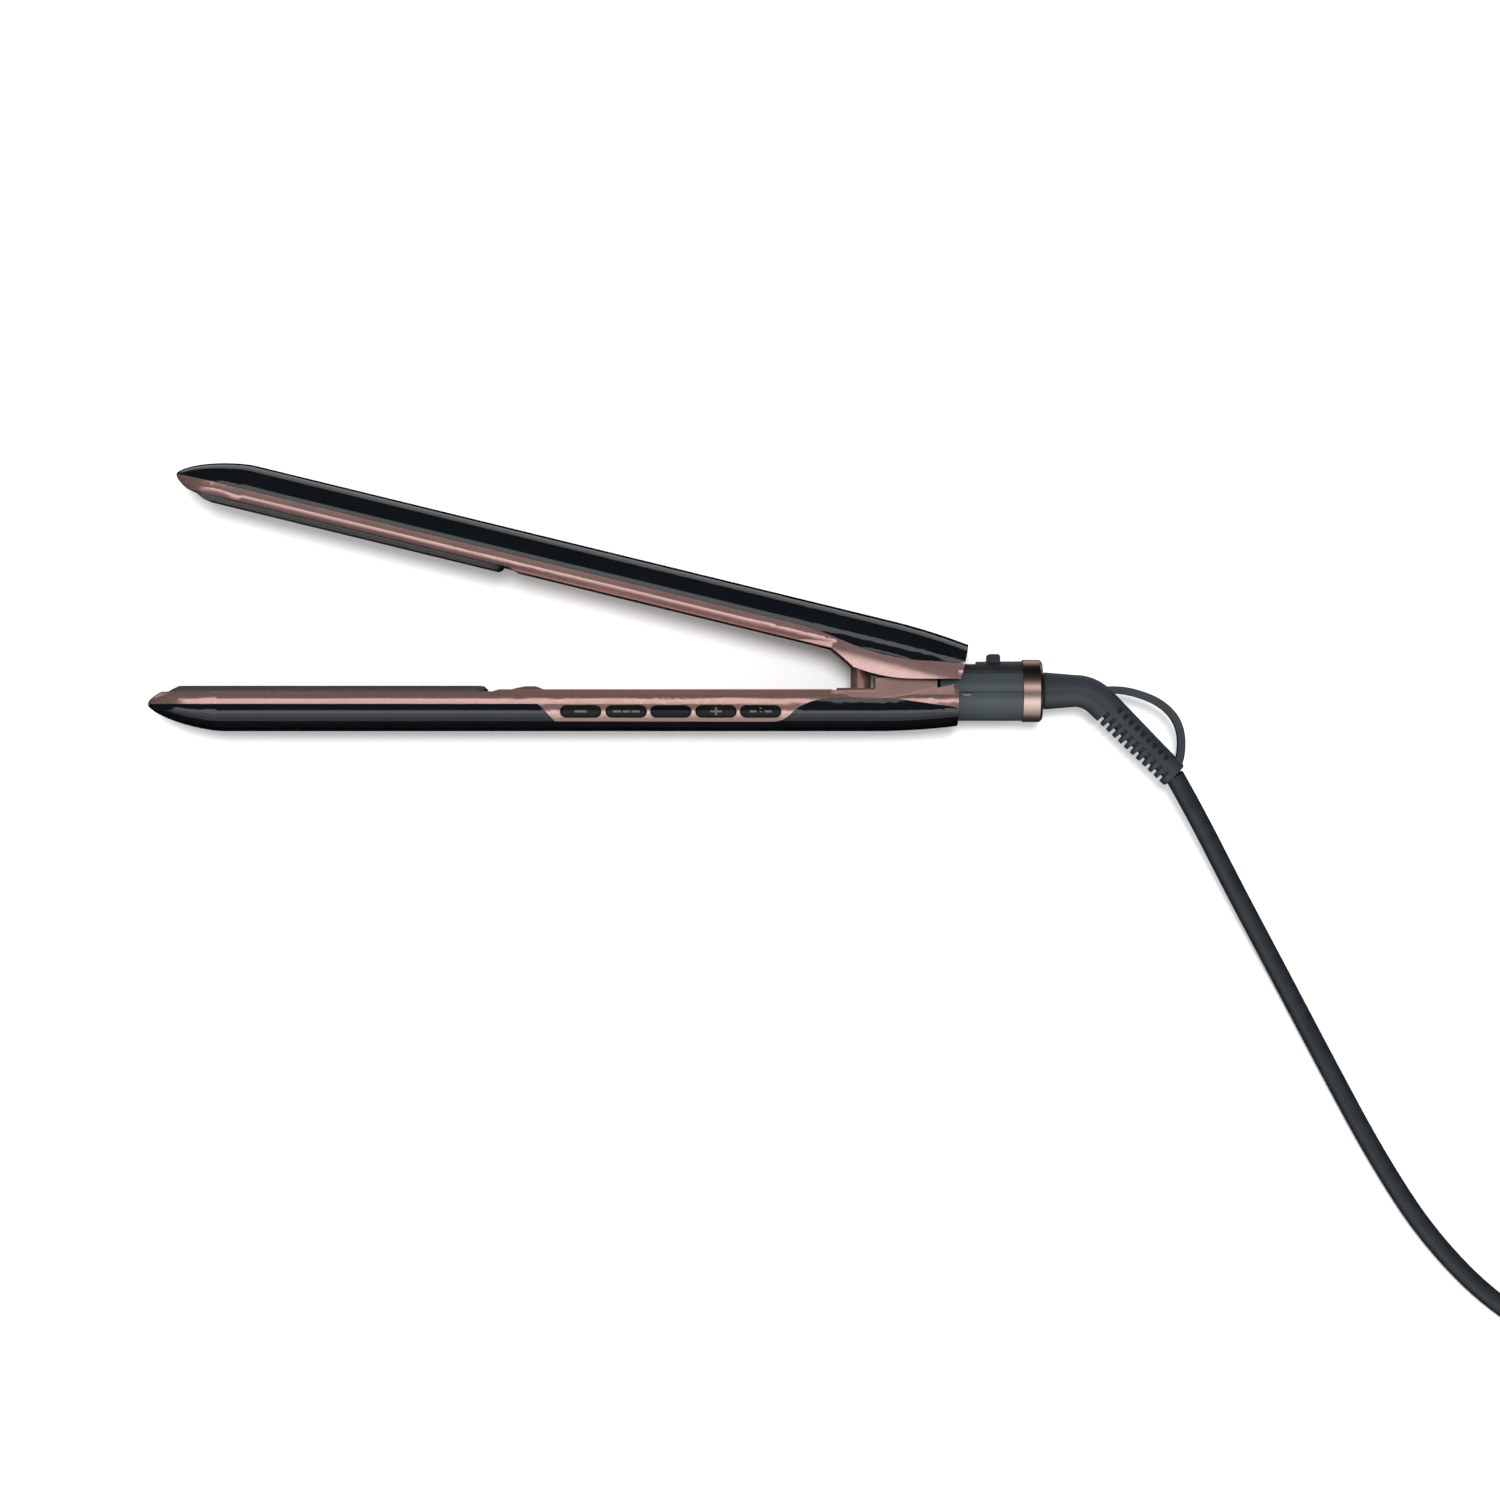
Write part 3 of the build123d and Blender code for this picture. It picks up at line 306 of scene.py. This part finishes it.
# for each key, its middle's x and its mark's bars: x from and to, a from and to, about the middle
MARKS = {
    "minus": (-127.8, [(-2.0, 2.0, -STROKE, STROKE)]),
    "mode": (-112.8, [(-4.4, -1.7, -STROKE, STROKE), (-1.2, 1.2, -STROKE, STROKE),
                      (1.7, 4.4, -STROKE, STROKE)]),
    "plus": (-83.2, [(-1.9, 1.9, -THIN, THIN), (-THIN, THIN, -1.3, -THIN), (-THIN, THIN, THIN, 1.3)]),
    "power": (-68.5, [(-3.6, -1.4, -THIN, THIN), (1.4, 3.6, -THIN, THIN), (-0.3, 0.3, -1.2, 0.3)]),
}


def key_top(a):
    """Height of a key's top at a."""
    share = max(0.0, (a - ARM_SEAM) / ARM_DEPTH) ** (ARM_POWER / 2)
    return ARM_HALF * math.sqrt(1 - share * share) ** (2 / ARM_POWER) - KEY_SINK


def add_bar(mesh, x0, x1, a0, a1):
    """A thin printed bar that follows the key's crown."""
    corners = [mesh.verts.new(from_hinge(x, CLOSE_Y - a, key_top(a) + lift))
               for lift in (INK_BOTTOM, INK_TOP)
               for x, a in ((x0, a0), (x1, a0), (x1, a1), (x0, a1))]
    low, high = corners[:4], corners[4:]
    mesh.faces.new(high)
    mesh.faces.new(low[::-1])
    for n in range(4):
        mesh.faces.new((low[n], low[(n + 1) % 4], high[(n + 1) % 4], high[n]))


def make_mark(key, middle, bars, ink):
    """Printed mark of one key, which moves with it."""
    mesh = bmesh.new()
    for x0, x1, a0, a1 in bars:
        add_bar(mesh, middle + x0, middle + x1, KEY_MIDDLE + a0, KEY_MIDDLE + a1)
    bmesh.ops.recalc_face_normals(mesh, faces=mesh.faces)
    data = bpy.data.meshes.new("mark_" + key)
    mesh.to_mesh(data)
    mesh.free()
    mark = add_object("mark_" + key, data)
    data.materials.append(ink)
    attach(mark, key + "_key")


def make_marks():
    ink = mottled("mark_ink", (0.075, 0.075, 0.07), (0.09, 0.09, 0.084), 0.45, grain=0.000004)
    for key, (middle, bars) in MARKS.items():
        make_mark(key, middle, bars, ink)


make_marks()


# ---- lead: one curve from the sleeve's end over the floor, round the coil and on to the plug ----
# its points are in millimetres from the hinge
CORD_MM = CORD_D * 1000
COIL_X, COIL_Y = 239.0, -188.0
INNER_TURN, OUTER_TURN = 34.75, 41.25             # the turns' radii
COIL_TURNS = [(OUTER_TURN, 0), (INNER_TURN, 0), (INNER_TURN, 1), (OUTER_TURN, 1),
              (INNER_TURN, 2), (OUTER_TURN, 2)]   # each turn's radius and its layer
COIL_START = math.radians(-90.0)
EXTRA_TURN = 0.25                                 # goes on past the last whole turn
POINTS_PER_TURN = 16
EASE_RATE = 3.0                                   # a turn takes up its own size over its first third
TIE_THICK = 0.9
COIL_LOW = FLOOR_MM + TIE_THICK + CORD_MM / 2     # middle of the lowest turns, which lie on the tie
LEAD_ON_FLOOR = FLOOR_MM + CORD_MM / 2            # middle of the lead on the floor
CURVE_STEPS, ROUND_STEPS = 8, 6

LEAD_START = [
    (69.484, -28.284, 0.0),
    (76.4, -40.2, -1.6),
    (90.4, -66.6, -7.4),
    (106.0, -95.0, -12.4),
    (121.6, -124.6, LEAD_ON_FLOOR),
    (139.0, -157.0, LEAD_ON_FLOOR),
    (157.0, -184.6, LEAD_ON_FLOOR),
    (180.0, -207.6, LEAD_ON_FLOOR + 0.2),
    (208.0, -222.4, LEAD_ON_FLOOR + 0.6),
]
LEAD_TAIL = [
    (COIL_X + OUTER_TURN + 0.2, -176.0, 0.63),
    (COIL_X + OUTER_TURN + 0.6, -160.0, 0.03),
    (277.0, -142.0, -5.0),
    (267.6, -122.0, -9.97),
    (262.0, -103.99, -9.67),
]


def coil_points():
    """Turns side by side and layer on layer; each turn eases into the next over its first third."""
    turns = [(radius, COIL_LOW + layer * CORD_MM) for radius, layer in COIL_TURNS]
    points = []
    for n in range(int(POINTS_PER_TURN * (len(turns) + EXTRA_TURN))):
        turn, share = divmod(n / POINTS_PER_TURN, 1.0)
        now = turns[min(int(turn), len(turns) - 1)]
        before = turns[max(0, min(int(turn), len(turns)) - 1)]
        ease = min(1.0, share * EASE_RATE)
        ease = ease * ease * (3 - 2 * ease)
        radius = before[0] + (now[0] - before[0]) * ease
        height = before[1] + (now[1] - before[1]) * ease
        angle = COIL_START + 2 * math.pi * n / POINTS_PER_TURN
        points.append((COIL_X + radius * math.cos(angle), COIL_Y + radius * math.sin(angle), height))
    return points


def make_lead():
    points = LEAD_START + coil_points() + LEAD_TAIL
    data = bpy.data.curves.new("lead", "CURVE")
    data.dimensions = "3D"
    data.bevel_depth, data.bevel_resolution = CORD_D / 2, ROUND_STEPS
    data.use_fill_caps = True
    spline = data.splines.new("NURBS")
    spline.points.add(len(points) - 1)
    for point, place in zip(spline.points, points):
        point.co = (*from_hinge(*place), 1.0)
    spline.order_u = 3
    spline.use_endpoint_u = True
    spline.resolution_u = CURVE_STEPS
    lead = add_object("lead", data)
    data.materials.append(MATERIALS["lead_sheath"])
    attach(lead, "swivel")
    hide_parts("cord", "cord_tail", "cord_coil")


make_lead()


# ---- floor ----
FLOOR_SIZE = 8.0


def make_floor():
    bpy.ops.mesh.primitive_plane_add(size=FLOOR_SIZE, location=(0, 0, FLOOR))
    floor = bpy.context.object
    floor.name = "floor"
    white = mottled("floor_white", (0.93, 0.93, 0.93), (0.95, 0.95, 0.95), 0.9, scale=4.0)
    floor.data.materials.append(white)
    floor.visible_glossy = False


# ---- light ----
WORLD_STRENGTH = 0.9
SUN_STRENGTH = 2.4
SUN_SPREAD, SUN_TILT = math.radians(13.0), math.radians(-8.5)
WHITE, COOL_WHITE = (1.0, 1.0, 1.0), (0.93, 0.98, 1.0)
BACK, FRONT = 1.0, -1.0                           # the +Y and the -Y side of the iron
BOX_SHIFT = -0.1                                  # the boxes' middle along the iron, from the hinge

# the boxes that the gloss shells show: name, side, lowest and highest angle from straight up in degrees,
# distance and length in metres, radiance, colour
SOFTBOXES = [
    ("overhead_strip", BACK, 5.0, 21.0, 2.0, 3.2, 1.3, WHITE),
    ("front_box", FRONT, 28.0, 50.0, 1.5, 3.4, 1.4, COOL_WHITE),
    ("front_low_box", FRONT, 50.0, 75.0, 1.5, 3.4, 0.8, COOL_WHITE),
    ("front_edge", FRONT, 75.0, 100.0, 1.5, 3.4, 0.4, COOL_WHITE),
    ("back_edge", BACK, 118.0, 150.0, 1.5, 3.4, 0.45, WHITE),
]


def softbox(name, side, low, high, distance, length, radiance, color):
    """A long box light that only shows in reflections, between two angles from straight up."""
    middle, half = math.radians((low + high) / 2), math.radians((high - low) / 2)
    data = bpy.data.lights.new(name, "AREA")
    data.shape, data.size, data.size_y = "RECTANGLE", length, 2 * distance * math.tan(half)
    data.energy = radiance * math.pi * data.size * data.size_y
    data.color = color
    light = add_object(name, data)
    aside, up = side * distance * math.sin(middle), distance * math.cos(middle)
    light.location = HINGE + Vector((BOX_SHIFT, aside, up))
    light.rotation_euler = (side * -middle, 0.0, 0.0)
    light.visible_camera = False
    light.visible_diffuse = False


def overhead_key():
    """Soft light from a little beyond straight up, which gives short shadows on the -Y side only."""
    data = bpy.data.lights.new("overhead_key", "SUN")
    data.energy, data.angle = SUN_STRENGTH, SUN_SPREAD
    light = add_object("overhead_key", data)
    light.rotation_euler = (SUN_TILT, 0.0, 0.0)
    light.visible_glossy = False


def make_world():
    """Even white light from all round that reflections don't show."""
    world = bpy.data.worlds.new("studio")
    bpy.context.scene.world = world
    world.use_nodes = True
    background = world.node_tree.nodes["Background"]
    background.inputs["Color"].default_value = (*WHITE, 1.0)
    background.inputs["Strength"].default_value = WORLD_STRENGTH
    world.cycles_visibility.glossy = False


def make_light():
    bpy.context.scene.view_settings.view_transform = "Standard"
    make_world()
    overhead_key()
    for box in SOFTBOXES:
        softbox(*box)


make_floor()
make_light()


bpy.context.view_layer.update()
